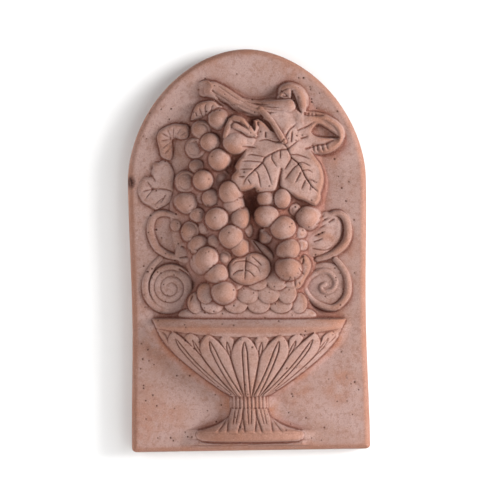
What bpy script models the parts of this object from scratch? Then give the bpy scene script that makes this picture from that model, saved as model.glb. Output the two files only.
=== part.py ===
"""A moulded terracotta wall plaque: an arched slab with an urn of grapes and vine leaves in relief."""
import math

import bmesh
import bpy
from mathutils import Vector

# Metres. The wall is the plane y = 0, the face looks along -Y, and z = 0 is halfway up the back.

# The slab
HEIGHT = 0.350
WIDTH = 0.208
THICKNESS = 0.020
ARCH_RISE = 0.116
ARCH_POWER = 1.87
WAIST = 0.0020
CORNER_RADIUS = 0.005
EDGE_ROUND = 0.0045
ARCH_STEPS = 36
SIDE_STEPS = 4

# How far every raised form reaches back into the slab, and how much wider it is there
ROOT_DEPTH = 0.4 * THICKNESS
ROOT_DRAFT = 1.03

# Points of one mesh that lie nearer than this are one point
WELD = 0.00001

# The urn, turned about an upright axis and half sunk in the face
URN_SIDEWAYS = -0.0004
URN_ABOVE_EDGE = 0.010
BASE_RADIUS = 0.0478
BASE_HEIGHT = 0.0086
FLARE_HEIGHT = 0.0195
COLLAR_RADIUS = 0.0172
COLLAR_HEIGHT = 0.0105
BOWL_HEIGHT = 0.0504
FASCIA_HEIGHT = 0.0078
FASCIA_SAG = 0.0060
RIM_HEIGHT = 0.0075
RIM_FROM_SIDE = 0.0200
RIM_STAND = 0.0280
RIM_STEP = 0.0012
URN_COLUMNS = 48
PETALS = 8
PETAL_RISE = 0.0022
FLUTES = 12
FLUTE_RISE = 0.0006

RIM_RADIUS = WIDTH / 2 - RIM_FROM_SIDE
URN_FOOT = -HEIGHT / 2 + URN_ABOVE_EDGE
COLLAR_TOP = URN_FOOT + BASE_HEIGHT + FLARE_HEIGHT + COLLAR_HEIGHT
RIM_TOP = COLLAR_TOP + BOWL_HEIGHT + FASCIA_HEIGHT + RIM_HEIGHT

# The fruit, leaves and handles over the rim fill the room inside the slab's edge. Their places and
# sizes are in hundredths of their own height, across from the middle of the slab and up from the rim,
# and how far they stand off the face is in hundredths of their own depth.
GARLAND_BELOW_TOP = 0.0280
GARLAND_FROM_SIDE = 0.0150
GARLAND_ASPECT = 0.855
GARLAND_DEPTH = 0.0320

ROOM_UP = HEIGHT / 2 - GARLAND_BELOW_TOP - RIM_TOP
ROOM_ACROSS = WIDTH - 2 * GARLAND_FROM_SIDE
GARLAND_HEIGHT = min(ROOM_UP, ROOM_ACROSS / GARLAND_ASPECT)
GRAIN = GARLAND_HEIGHT / 100
STAND = GARLAND_DEPTH / 100

# The groove along each lobe of a leaf: its depth like a stand, and half its angle
VEIN_DEPTH = 5
VEIN_SPREAD = math.radians(16)

# Across, up, radius and stand of each grape, down each bunch
LEFT_GRAPES = [
    (-12.5, 82.5, 4, 69), (-19, 78.5, 4, 54), (-16.5, 73.5, 4.5, 75), (-13, 67, 5, 88),
    (-23, 71, 4, 42), (-22, 64, 3.5, 44), (-26, 57.5, 4.5, 46), (-19.5, 58, 4.5, 75),
    (-11.5, 59, 3.5, 56), (-26, 49, 5, 52), (-15, 51, 4.5, 66), (-8, 53, 4.5, 94),
    (-6.5, 48, 4, 81), (-22, 43.5, 3, 56), (-13, 42, 5, 91), (-4, 42, 4, 88),
    (-7.5, 35, 5, 97), (-24.5, 37.5, 4, 50), (-18.5, 38, 3, 54), (-21.5, 31.5, 3.5, 60),
    (-14, 32.5, 3.5, 66), (-4, 30, 3.5, 78), (-17.5, 26, 5, 88), (-10.5, 25.5, 3.5, 64),
    (-13, 19.5, 4, 88), (-11, 12.5, 4.5, 94),
]
RIGHT_GRAPES = [
    (6.5, 50.5, 4, 81), (14, 50, 4, 84), (7, 43.5, 5, 91), (13.5, 38.5, 5.5, 97),
    (24, 43, 4.5, 69), (20.5, 37, 3, 64), (16.5, 29.5, 4.5, 91), (16, 22, 4.5, 97), (7, 36, 3, 60),
]

# Terracotta with a pale bloom
CLAY_COLOUR = (0.42, 0.25, 0.21, 1.0)
CLAY_ROUGHNESS = 0.9

# The pocket in the back that hooks over a nail
NAIL_BELOW_TOP = 0.045
NAIL_POCKET_WIDTH = 0.016
NAIL_POCKET_HEIGHT = 0.012
NAIL_POCKET_DEPTH = 0.010


def new_collection(name):
    """A collection of the scene"""
    collection = bpy.data.collections.new(name)
    bpy.context.scene.collection.children.link(collection)
    return collection


def add_mesh(bm, name, collection):
    """An object that holds the mesh, with its faces pointing out"""
    bmesh.ops.recalc_face_normals(bm, faces=bm.faces)
    if bm.calc_volume(signed=True) < 0:
        bmesh.ops.reverse_faces(bm, faces=bm.faces)
    mesh = bpy.data.meshes.new(name)
    bm.to_mesh(mesh)
    bm.free()
    piece = bpy.data.objects.new(name, mesh)
    collection.objects.link(piece)
    return piece


def curve_to_mesh(guide, collection):
    """Replaces a curve object by its closed mesh"""
    bpy.context.view_layer.update()
    depsgraph = bpy.context.evaluated_depsgraph_get()
    mesh = bpy.data.meshes.new_from_object(guide.evaluated_get(depsgraph))
    mesh.transform(guide.matrix_world)
    name = guide.name
    bpy.data.objects.remove(guide)
    bm = bmesh.new()
    bm.from_mesh(mesh)
    bpy.data.meshes.remove(mesh)
    bmesh.ops.remove_doubles(bm, verts=bm.verts, dist=WELD)
    return add_mesh(bm, name, collection)


def make_guide(obj):
    """Shows an object as a guide only"""
    obj.hide_render = True
    obj.display_type = "WIRE"


# The slab

def slab_outline():
    """Points round the slab from its lower right corner, anticlockwise as seen from the front"""
    half = WIDTH / 2
    foot = -HEIGHT / 2
    spring = HEIGHT / 2 - ARCH_RISE
    right = []
    for step in range(4):
        turn = math.pi / 2 * step / 3
        x = half - CORNER_RADIUS * (1 - math.sin(turn))
        right.append((x, foot + CORNER_RADIUS * (1 - math.cos(turn))))
    side = spring - foot - CORNER_RADIUS
    for step in range(1, SIDE_STEPS):
        share = step / SIDE_STEPS
        right.append((half - WAIST * math.sin(math.pi * share) ** 2, foot + CORNER_RADIUS + side * share))
    for step in range(ARCH_STEPS // 2):
        turn = math.pi * step / ARCH_STEPS
        x = half * math.cos(turn) ** (2 / ARCH_POWER)
        right.append((x, spring + ARCH_RISE * math.sin(turn) ** (2 / ARCH_POWER)))
    left = [(-x, z) for x, z in reversed(right)]
    return right + [(0, HEIGHT / 2)] + left


def slab(collection):
    """The slab: the outline extruded, with the edge of its face rounded"""
    curve = bpy.data.curves.new("plaque", "CURVE")
    curve.dimensions = "2D"
    curve.fill_mode = "BOTH"
    curve.extrude = THICKNESS / 2
    spline = curve.splines.new("POLY")
    outline = slab_outline()
    spline.points.add(len(outline) - 1)
    for point, (x, z) in zip(spline.points, outline):
        point.co = (x, z, 0, 1)
    spline.use_cyclic_u = True
    guide = bpy.data.objects.new("plaque", curve)
    guide.rotation_euler.x = math.pi / 2
    guide.location.y = -THICKNESS / 2
    collection.objects.link(guide)
    plaque = curve_to_mesh(guide, collection)
    bm = bmesh.new()
    bm.from_mesh(plaque.data)
    bmesh.ops.dissolve_limit(bm, angle_limit=math.radians(1), verts=bm.verts, edges=bm.edges)
    weight = bm.edges.layers.float.new("bevel_weight_edge")
    face_y = -THICKNESS * 0.999
    for edge in bm.edges:
        on_face = all(vert.co.y < face_y for vert in edge.verts)
        edge[weight] = 1.0 if on_face else 0.0
    bm.to_mesh(plaque.data)
    bm.free()
    rounding = plaque.modifiers.new("rounded edge of the face", "BEVEL")
    rounding.limit_method = "WEIGHT"
    rounding.width = min(EDGE_ROUND, 0.9 * CORNER_RADIUS)
    rounding.segments = 2
    return plaque


# Raised forms

def oval(across, tall):
    """The reach of an oval in each direction, from its two radii"""
    def reach(angle):
        return 1 / math.hypot(math.cos(angle) / across, math.sin(angle) / tall)
    return reach


def lobed(core, lobes):
    """The reach of a leaf in each direction, from its lobes' directions, lengths and spreads in degrees"""
    def reach(angle):
        longest = core
        for direction, length, spread in lobes:
            off = math.remainder(angle - math.radians(direction), 2 * math.pi) / math.radians(spread)
            if abs(off) < 1:
                longest = max(longest, core + (length - core) * (1 - abs(off) ** 1.6))
        return longest
    return reach


def standing_form(name, collection, place, reach, stand, crown, columns=10, rings=3, tilt=(0, 0), veins=()):
    """A form that rises straight from the slab: a sphere whose front half is reshaped into the crown and
    whose back half is flattened into the root. The tilt is the crown's slope across and up."""
    bm = bmesh.new()
    bmesh.ops.create_uvsphere(bm, u_segments=columns, v_segments=2 * rings, radius=1)
    x, z = place
    root = ROOT_DEPTH * (0.7 + 0.3 * math.cos(7 * x + 11 * z))    # no two roots end in one plane
    first_ring = math.cos(math.pi / 2 / rings)
    for vert in bm.verts:
        out = math.hypot(vert.co.x, vert.co.y)
        angle = math.atan2(vert.co.y, vert.co.x)
        if vert.co.z > -0.01:
            wide = reach(angle) * out
            off = stand - crown * (1 - vert.co.z)
            off += wide * (tilt[0] * math.cos(angle) + tilt[1] * math.sin(angle))
            for direction, depth in veins:
                away = math.remainder(angle - math.radians(direction), 2 * math.pi) / VEIN_SPREAD
                off -= depth * out * math.exp(-away * away)
        else:
            wide = reach(angle) * min(1, out / first_ring) * ROOT_DRAFT
            off = -root
        vert.co = (x + wide * math.cos(angle), -THICKNESS - off, z + wide * math.sin(angle))
    return add_mesh(bm, name, collection)


def smooth_path(points, steps):
    """A rounded path through the points, with so many steps between each two"""
    path = []
    last = len(points) - 1
    for index in range(last):
        near = [Vector(points[min(max(index + offset, 0), last)]) for offset in (-1, 0, 1, 2)]
        for step in range(steps):
            t = step / steps
            path.append(0.5 * (2 * near[1] + (near[2] - near[0]) * t
                               + (2 * near[0] - 5 * near[1] + 4 * near[2] - near[3]) * t ** 2
                               + (3 * near[1] - near[0] - 3 * near[2] + near[3]) * t ** 3))
    path.append(Vector(points[last]))
    return path


def ridge(name, collection, path, radius, stand, taper=1.0, facets=3):
    """A round-backed ridge along a path of places, with straight sides that go down into the slab"""
    section = bpy.data.curves.new(name + " section", "CURVE")
    section.dimensions = "2D"
    turns = [math.pi * step / facets for step in range(facets + 1)]
    arch = [(radius * math.cos(turn), radius * math.sin(turn)) for turn in turns]
    leg = stand - radius + ROOT_DEPTH
    arch += [(-radius, -leg), (radius, -leg)]
    shape = section.splines.new("POLY")
    shape.points.add(len(arch) - 1)
    for point, (side, front) in zip(shape.points, arch):
        point.co = (side, front, 0, 1)
    shape.use_cyclic_u = True
    section_guide = bpy.data.objects.new(name + " section", section)
    collection.objects.link(section_guide)
    curve = bpy.data.curves.new(name, "CURVE")
    curve.dimensions = "2D"
    curve.bevel_mode = "OBJECT"
    curve.bevel_object = section_guide
    curve.use_fill_caps = True
    spline = curve.splines.new("POLY")
    spline.points.add(len(path) - 1)
    for index, (point, place) in enumerate(zip(spline.points, path)):
        point.co = (place[0], place[1], 0, 1)
        point.radius = 1 + (taper - 1) * index / (len(path) - 1)
    guide = bpy.data.objects.new(name, curve)
    guide.rotation_euler.x = math.pi / 2
    guide.location.y = -THICKNESS - stand + radius
    collection.objects.link(guide)
    form = curve_to_mesh(guide, collection)
    bpy.data.objects.remove(section_guide)
    return form


# The urn

def urn_profile():
    """Radius and height of each ring of the urn, from the middle of its top down its outer side"""
    rings = [(0, RIM_TOP), (RIM_RADIUS - RIM_STEP, RIM_TOP), (RIM_RADIUS, RIM_TOP - RIM_STEP)]
    z = RIM_TOP - RIM_HEIGHT
    rings += [(RIM_RADIUS - RIM_STEP, z), (RIM_RADIUS - 2 * RIM_STEP, z - RIM_STEP)]
    z -= FASCIA_HEIGHT
    bowl_top = RIM_RADIUS - 4 * RIM_STEP
    rings.append((bowl_top + RIM_STEP, z + RIM_STEP / 2))
    for step in range(7):
        share = step / 6
        radius = COLLAR_RADIUS + (bowl_top - COLLAR_RADIUS) * (1 - share ** 1.38)
        rings.append((radius, z - RIM_STEP / 2 - (BOWL_HEIGHT - RIM_STEP / 2) * share))
    z -= BOWL_HEIGHT
    rings += [(COLLAR_RADIUS * 0.96, z - COLLAR_HEIGHT / 2), (COLLAR_RADIUS * 0.98, z - COLLAR_HEIGHT)]
    z -= COLLAR_HEIGHT
    flare = BASE_RADIUS * 0.94
    for step in range(1, 4):
        share = step / 3
        rings.append((COLLAR_RADIUS + (flare - COLLAR_RADIUS) * share ** 2.5, z - FLARE_HEIGHT * share))
    z -= FLARE_HEIGHT
    rings += [(BASE_RADIUS, z - BASE_HEIGHT * 0.4), (BASE_RADIUS * 0.98, URN_FOOT), (0, URN_FOOT)]
    return rings


def urn_stand(radius):
    """How far the middle of a ring stands off the face"""
    return RIM_STAND * (radius / RIM_RADIUS) ** 0.6


def petal_rise(turn, share):
    """The carved petals round the bowl: their height at a turn from the middle, down the bowl"""
    pitch = math.pi / PETALS
    across = abs(math.remainder(turn, pitch)) / pitch
    half = 0.5 * math.sin(min(1, (share + 0.05) / 0.4) * math.pi / 2)
    if across >= half:
        return -PETAL_RISE / 2
    return PETAL_RISE * (0.5 - (across / half) ** 3)


def urn(collection):
    """The urn, a half turn of its profile drawn out to its stand and let into the slab"""
    bm = bmesh.new()
    verts = [bm.verts.new((radius, 0, z)) for radius, z in urn_profile()]
    for upper, lower in zip(verts, verts[1:]):
        bm.edges.new((upper, lower))
    mesh = bpy.data.meshes.new("urn profile")
    bm.to_mesh(mesh)
    bm.free()
    guide = bpy.data.objects.new("urn profile", mesh)
    guide.rotation_euler.z = math.pi
    collection.objects.link(guide)
    turning = guide.modifiers.new("half turn", "SCREW")
    turning.angle = math.pi
    turning.steps = URN_COLUMNS
    turning.render_steps = URN_COLUMNS
    turning.use_merge_vertices = True
    turning.merge_threshold = WELD
    bpy.context.view_layer.update()
    depsgraph = bpy.context.evaluated_depsgraph_get()
    half = bpy.data.meshes.new_from_object(guide.evaluated_get(depsgraph))
    half.transform(guide.matrix_world)
    bpy.data.objects.remove(guide)
    bm = bmesh.new()
    bm.from_mesh(half)
    bpy.data.meshes.remove(half)
    bmesh.ops.remove_doubles(bm, verts=bm.verts, dist=WELD)
    bowl_top = COLLAR_TOP + BOWL_HEIGHT
    flare_foot = URN_FOOT + BASE_HEIGHT
    for vert in bm.verts:
        radius = math.hypot(vert.co.x, vert.co.y)
        if radius < 0.0001:
            continue
        turn = math.atan2(vert.co.x, -vert.co.y)
        z = vert.co.z
        rise = 0
        if COLLAR_TOP < z < bowl_top:
            rise = petal_rise(turn, (bowl_top - z) / BOWL_HEIGHT)
        elif flare_foot < z <= COLLAR_TOP:
            rise = FLUTE_RISE * math.cos(2 * FLUTES * turn)
        if abs(z - bowl_top) < RIM_STEP:
            z -= FASCIA_SAG * math.cos(turn) ** 2 - FASCIA_SAG / 2
        front = max(0, math.cos(turn)) * (urn_stand(radius) + rise)
        vert.co = (URN_SIDEWAYS + math.sin(turn) * (radius + rise), -THICKNESS - front, z)
    border = [edge for edge in bm.edges if edge.is_boundary]
    grown = bmesh.ops.extrude_edge_only(bm, edges=border)["geom"]
    for vert in grown:
        if isinstance(vert, bmesh.types.BMVert):
            vert.co.y = -THICKNESS + ROOT_DEPTH
    bmesh.ops.edgeloop_fill(bm, edges=[edge for edge in bm.edges if edge.is_boundary])
    return add_mesh(bm, "urn", collection)


# The fruit and leaves

def garland_place(across, up):
    """A place on the face from its hundredths"""
    return (across * GRAIN, RIM_TOP + up * GRAIN)


def bunches(collection):
    """Two bunches of grapes, each on a swelling of clay"""
    swellings = [("left bunch", (-15, 47), 11.5, 38, 44), ("right bunch", (14.5, 36), 11, 20, 54)]
    for name, middle, across, tall, stand in swellings:
        standing_form(name, collection, garland_place(*middle), oval(across * GRAIN, tall * GRAIN),
                      stand * STAND, 24 * STAND, columns=16)
    for bunch, grapes in (("left", LEFT_GRAPES), ("right", RIGHT_GRAPES)):
        for number, (across, up, radius, stand) in enumerate(grapes):
            standing_form(f"{bunch} grape {number}", collection, garland_place(across, up),
                          oval(radius * GRAIN, radius * GRAIN), stand * STAND, radius * GRAIN,
                          columns=9 if radius > 3.5 else 7)


def leaf(name, collection, place, core, lobes, stand, crown, tilt=(0, 0), columns=18):
    """A vine leaf laid over the slab, with a groove along each lobe"""
    veins = [(direction, VEIN_DEPTH * STAND) for direction, length, spread in lobes]
    reach = lobed(core * GRAIN, [(direction, length * GRAIN, spread) for direction, length, spread in lobes])
    standing_form(name, collection, garland_place(*place), reach, stand * STAND, crown * STAND,
                  columns, tilt=tilt, veins=veins)


def leaves(collection):
    """The vine leaves, from the largest to the smallest"""
    leaf("large leaf", collection, (15.5, 71), 8.5,
         [(222, 26, 36), (247, 21, 26), (302, 24.5, 34), (333, 17, 34),
          (10, 14, 40), (75, 13.5, 40), (165, 14, 40)],
         82, 16, tilt=(-0.2, 0.03), columns=36)
    leaf("left leaf", collection, (-38, 56), 5.5,
         [(125, 9, 55), (60, 9.5, 50), (215, 8.5, 50), (300, 9.5, 50)], 22, 8, tilt=(0.1, 0))
    leaf("upper left leaf", collection, (-33, 75), 4,
         [(50, 8, 60), (150, 7.5, 60), (250, 8, 60)], 26, 12)
    leaf("small top leaf", collection, (-19, 87), 3, [(35, 6, 50), (165, 6, 60), (215, 6, 40)], 38, 14)
    leaf("lower leaf", collection, (0.5, 20.5), 6,
         [(180, 9, 60), (60, 8, 50), (350, 9.5, 50), (265, 6.5, 60)], 70, 16)
    leaf("lower right leaf", collection, (19.5, 20.5), 5,
         [(60, 7.5, 50), (265, 8.5, 60), (330, 6.5, 50)], 52, 14)
    leaf("deep leaf", collection, (5, 28), 4, [(60, 6, 60), (200, 6, 60)], 34, 8)
    leaf("leaf in the right handle", collection, (30, 37), 3.5, [(80, 7, 50), (230, 7, 50)], 22, 8)


def folded_leaves(collection):
    """Two leaves that curl over: a bulb on the left and a boat on the right"""
    standing_form("curled lobe", collection, garland_place(-5.5, 74), oval(5.5 * GRAIN, 5 * GRAIN),
                  88 * STAND, 30 * STAND, columns=12)
    standing_form("curled lobe, upper part", collection, garland_place(-3, 80), oval(5 * GRAIN, 5 * GRAIN),
                  76 * STAND, 22 * STAND, columns=12)
    boat = smooth_path([garland_place(*place) for place in
                        [(22.5, 85), (29, 85), (36, 83), (37.5, 79), (36, 74), (31, 71), (24, 71)]], 3)
    ridge("boat leaf rim", collection, boat, 1.5 * GRAIN, 40 * STAND)
    standing_form("boat leaf floor", collection, garland_place(30.5, 78), oval(7.5 * GRAIN, 6.5 * GRAIN),
                  24 * STAND, 6 * STAND, columns=14)
    hook = smooth_path([garland_place(*place) for place in
                        [(11, 92), (13.5, 94.5), (18.5, 95), (21.5, 91.5), (22.5, 86)]], 3)
    ridge("hooked leaf", collection, hook, 2.3 * GRAIN, 44 * STAND, facets=4)


def vine(collection):
    """The cut branch across the top and the stalk that comes down to the large leaf"""
    branch = smooth_path([garland_place(*place) for place in
                          [(-19, 96.5), (-14, 95), (-8, 91), (0, 88.5), (8, 88), (17.5, 89.5)]], 4)
    ridge("branch", collection, branch, 3.1 * GRAIN, 62 * STAND, taper=0.8, facets=5)
    stalk = smooth_path([garland_place(*place) for place in [(6, 88), (9, 83.5), (11.5, 79), (15, 72)]], 3)
    ridge("leaf stalk", collection, stalk, 1 * GRAIN, 84 * STAND)


def scales(collection):
    """The heap of round scales over the rim, lapped like tiles"""
    standing_form("heap", collection, garland_place(-1, 0), oval(25 * GRAIN, 16 * GRAIN),
                  44 * STAND, 14 * STAND, columns=18)
    rows = [(7.5, -24, 6, 46), (12, -19, 5, 50), (16.5, 3, 2, 54)]
    for up, left, count, stand in rows:
        for number in range(count):
            standing_form(f"scale {up} {number}", collection, garland_place(left + 9.1 * number, up),
                          oval(5 * GRAIN, 4.3 * GRAIN), stand * STAND, 9 * STAND, tilt=(0, -0.2))


def handles(collection):
    """Two scrolled handles, each a curl that opens upward over a coil"""
    coil_reach = 8.7
    coil_turns = 1.75
    coil_steps = 23
    for side, across, start in ((-1, -33, 80), (1, 32, 100)):
        coil = []
        for step in range(coil_steps + 1):
            share = step / coil_steps
            angle = math.radians(start) - side * share * coil_turns * 2 * math.pi
            away = coil_reach * (1 - share) + 1.8 * share
            coil.append(garland_place(across + away * math.cos(angle), 14.5 + away * math.sin(angle)))
        coil.reverse()
        ridge(f"coil {side}", collection, coil, 1.25 * GRAIN, 17 * STAND)
        curl = [(31, 43.5), (34.5, 45), (39, 44), (41.5, 39.5), (40.5, 34.5), (37, 30), (30.5, 25)]
        path = smooth_path([garland_place(side * place[0], place[1]) for place in curl], 3)
        ridge(f"curl {side}", collection, path, 1.2 * GRAIN, 20 * STAND)


# The back

def nail_pocket(collection):
    """The pocket in the back that hooks over a nail"""
    z = HEIGHT / 2 - NAIL_BELOW_TOP
    bpy.ops.mesh.primitive_cube_add(size=1, location=(0, 0, z))
    pocket = bpy.context.object
    pocket.name = "nail pocket"
    pocket.scale = (NAIL_POCKET_WIDTH, 2 * NAIL_POCKET_DEPTH, NAIL_POCKET_HEIGHT)
    for owner in pocket.users_collection:
        owner.objects.unlink(pocket)
    collection.objects.link(pocket)
    return pocket


def terracotta():
    """Fired clay with a pale bloom"""
    material = bpy.data.materials.new("terracotta")
    material.use_nodes = True
    shader = material.node_tree.nodes["Principled BSDF"]
    shader.inputs["Base Color"].default_value = CLAY_COLOUR
    shader.inputs["Roughness"].default_value = CLAY_ROUGHNESS
    return material


def build():
    """The plaque, with its raised forms joined to the slab and the pocket cut"""
    for obj in list(bpy.data.objects):
        bpy.data.objects.remove(obj)
    parts = new_collection("wall plaque")
    forms = new_collection("raised forms")
    cutters = new_collection("cutters")
    plaque = slab(parts)
    urn(forms)
    scales(forms)
    handles(forms)
    bunches(forms)
    leaves(forms)
    folded_leaves(forms)
    vine(forms)
    pocket = nail_pocket(cutters)
    for guide in list(forms.objects) + [pocket]:
        make_guide(guide)
    joining = plaque.modifiers.new("raised forms", "BOOLEAN")
    joining.operation = "UNION"
    joining.operand_type = "COLLECTION"
    joining.collection = forms
    cutting = plaque.modifiers.new("nail pocket", "BOOLEAN")
    cutting.operation = "DIFFERENCE"
    cutting.object = pocket
    plaque.data.materials.append(terracotta())


build()
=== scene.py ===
import math

import bpy
import numpy as np
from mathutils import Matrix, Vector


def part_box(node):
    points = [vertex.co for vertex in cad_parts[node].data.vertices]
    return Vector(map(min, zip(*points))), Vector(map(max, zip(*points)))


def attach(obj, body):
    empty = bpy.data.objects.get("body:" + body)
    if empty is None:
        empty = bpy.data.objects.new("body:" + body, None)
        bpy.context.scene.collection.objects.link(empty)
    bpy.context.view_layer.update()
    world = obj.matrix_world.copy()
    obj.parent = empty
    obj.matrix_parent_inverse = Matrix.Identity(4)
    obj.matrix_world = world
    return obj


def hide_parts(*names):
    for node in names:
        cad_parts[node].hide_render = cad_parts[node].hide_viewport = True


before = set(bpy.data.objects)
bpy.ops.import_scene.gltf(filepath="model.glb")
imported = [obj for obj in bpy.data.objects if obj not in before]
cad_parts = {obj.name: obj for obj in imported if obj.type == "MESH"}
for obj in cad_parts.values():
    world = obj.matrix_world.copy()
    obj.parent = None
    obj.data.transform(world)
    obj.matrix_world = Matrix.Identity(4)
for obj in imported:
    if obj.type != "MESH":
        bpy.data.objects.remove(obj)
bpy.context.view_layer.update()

# The slab
# The body of the plaque is one slab of red clay, pressed into a mould: straight sides that draw in a
# little at the waist, an arched head, and an edge that rolls over to the wall. All the rest is raised
# on its face. The clay is a height above the wall at each place of the face, in millimetres.
MM = 0.001
slab_low, slab_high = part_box("plaque")
HALF_WIDTH = slab_high.x / MM
TOP = slab_high.z / MM
FOOT = slab_low.z / MM
FACE = 20.0
ARCH_RISE = 116.0
ARCH_POWER = 1.87
SPRING = TOP - ARCH_RISE
WAIST = 2.0
CORNER = 4.5
EDGE_ROLL = 6.5
EDGE_FOOT = 2.0
ROLL_POWER = 2.6
COLUMNS = 3 * 152
ROWS = 3 * 252


def side_at(z):
    """Half the width of the slab at each height, below its arch"""
    down = np.clip((SPRING - z) / (SPRING - FOOT), 0, 1)
    return HALF_WIDTH - WAIST * np.sin(np.pi * down) ** 2


def upper_edge(x):
    """The height of the slab's upper edge over each place across"""
    across = np.clip(np.abs(x) / HALF_WIDTH, 0, 1)
    return SPRING + ARCH_RISE * (1 - across ** ARCH_POWER) ** (1 / ARCH_POWER)


def lower_edge(x):
    """The height of the slab's lower edge, with its two small round corners"""
    past = np.clip(np.abs(x) - (HALF_WIDTH - CORNER), 0, CORNER)
    return FOOT + CORNER - np.sqrt(CORNER ** 2 - past ** 2)


def face_grid(columns, rows):
    """Places over the whole face, in rows from the foot to the arch"""
    across = np.linspace(-1, 1, columns + 1)[None, :] * HALF_WIDTH
    up = np.linspace(0, 1, rows + 1)[:, None]
    z = lower_edge(across) + up * (upper_edge(across) - lower_edge(across))
    return across * side_at(z) / HALF_WIDTH, z


FACE_X, FACE_Z = face_grid(COLUMNS, ROWS)


def inside_edge():
    """How far each place is in from the slab's edge"""
    sides = side_at(FACE_Z) - np.abs(FACE_X)
    across = np.abs(FACE_X) / HALF_WIDTH
    up = np.clip(FACE_Z - SPRING, 0, None) / ARCH_RISE
    shape = np.maximum(across ** ARCH_POWER + up ** ARCH_POWER, 1e-6)
    value = shape ** (1 / ARCH_POWER)
    slope = shape ** (1 / ARCH_POWER - 1)
    steep = np.hypot(slope * across ** (ARCH_POWER - 1) / HALF_WIDTH,
                     slope * up ** (ARCH_POWER - 1) / ARCH_RISE)
    arch = (1 - value) / np.maximum(steep, 1e-6)
    sides = np.where(FACE_Z > SPRING, arch, sides)
    return np.clip(np.minimum(sides, FACE_Z - lower_edge(FACE_X)), 0, None)


roll = 1 - np.clip(inside_edge() / EDGE_ROLL, 0, 1)
clay = EDGE_FOOT + (FACE - EDGE_FOOT) * (1 - roll ** ROLL_POWER) ** (1 / ROLL_POWER)


def lumps(size, seed):
    """Smooth random swellings of about the given size, from -1 to 1"""
    random = np.random.default_rng(seed)
    count = (int(2 * TOP / size) + 4, int(2 * HALF_WIDTH / size) + 4)
    knots = random.uniform(-1, 1, count)
    row = (FACE_Z - FOOT) / size + 1
    column = (FACE_X + HALF_WIDTH) / size + 1
    low_row = np.floor(row).astype(int)
    low_column = np.floor(column).astype(int)
    up = row - low_row
    right = column - low_column
    up = up * up * (3 - 2 * up)
    right = right * right * (3 - 2 * right)
    lower = knots[low_row, low_column] * (1 - right) + knots[low_row, low_column + 1] * right
    upper = knots[low_row + 1, low_column] * (1 - right) + knots[low_row + 1, low_column + 1] * right
    return lower * (1 - up) + upper * up


clay += 0.5 * lumps(48, 1) * (1 - roll) + 0.16 * lumps(15, 2)

# The relief was laid a little out of true with the slab. The slab is upright here, and the camera is turned
# by as much, so that the relief stands upright in the picture.
LEAN = math.radians(0.9)
X = FACE_X * math.cos(LEAN) - FACE_Z * math.sin(LEAN)
Z = FACE_X * math.sin(LEAN) + FACE_Z * math.cos(LEAN)


# The urn
# A footed urn in half relief: a plain rim with a sloping band under it, a bowl of long petals with small
# leaves between their tips, a fluted collar, and a foot that spreads to a plain base.
STEEP = 9.0
RIM_TOP = -59.5
BAND_FOOT = -67.0
FASCIA_FOOT = -71.5
FASCIA_SAG = 7.6
COLLAR_TOP = -126.5
COLLAR_FOOT = -137.0
FLARE_FOOT = -156.3
URN_FOOT = -165.0
RIM_RADIUS = 84.0
BOWL_RADIUS = 79.0
COLLAR_RADIUS = 17.2
FLARE_RADIUS = 45.0
BASE_RADIUS = 47.8
URN_STAND = 28.0
PETAL_STEP = 0.395
JOINT_RISE = 3.8
JOINT_WIDTH = 13


def near(low_x, high_x, low_z, high_z):
    """The places inside a box on the face"""
    return np.nonzero((X > low_x) & (X < high_x) & (Z > low_z) & (Z < high_z))


def lay(places, form, soft=0.4):
    """Lays clay on the face: where a form stands over what is there it covers it, with a small soft joint"""
    here = clay[places]
    share = np.clip(0.5 + 0.5 * (form + FACE - here) / soft, 0, 1)
    clay[places] = here * (1 - share) + (form + FACE) * share + soft * share * (1 - share)


def urn_radius(z):
    """The urn's radius at each height"""
    down = np.clip((FASCIA_FOOT - z) / (FASCIA_FOOT - COLLAR_TOP), 0, 1)
    radius = COLLAR_RADIUS + (BOWL_RADIUS - COLLAR_RADIUS) * (1 - down ** 1.38)
    drop = np.clip((COLLAR_FOOT - z) / (COLLAR_FOOT - FLARE_FOOT), 0, 1)
    radius = np.where(z < COLLAR_FOOT, COLLAR_RADIUS + (FLARE_RADIUS - COLLAR_RADIUS) * drop ** 2.5, radius)
    bead = np.clip((FLARE_FOOT - z) / (FLARE_FOOT - URN_FOOT), 0, 1)
    edge = FLARE_RADIUS + (BASE_RADIUS - FLARE_RADIUS) * np.sin(np.pi * np.clip(bead * 1.15, 0, 1)) ** 0.5
    radius = np.where(z < FLARE_FOOT, edge, radius)
    rim = np.clip((z - FASCIA_FOOT) / (RIM_TOP - FASCIA_FOOT), 0, 1)
    return np.where(z > FASCIA_FOOT, BOWL_RADIUS + (RIM_RADIUS - BOWL_RADIUS) * rim ** 0.7, radius)


def bump(value, width):
    """A soft ridge of height one, so wide"""
    return np.exp(-(value / width) ** 2)


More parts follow.
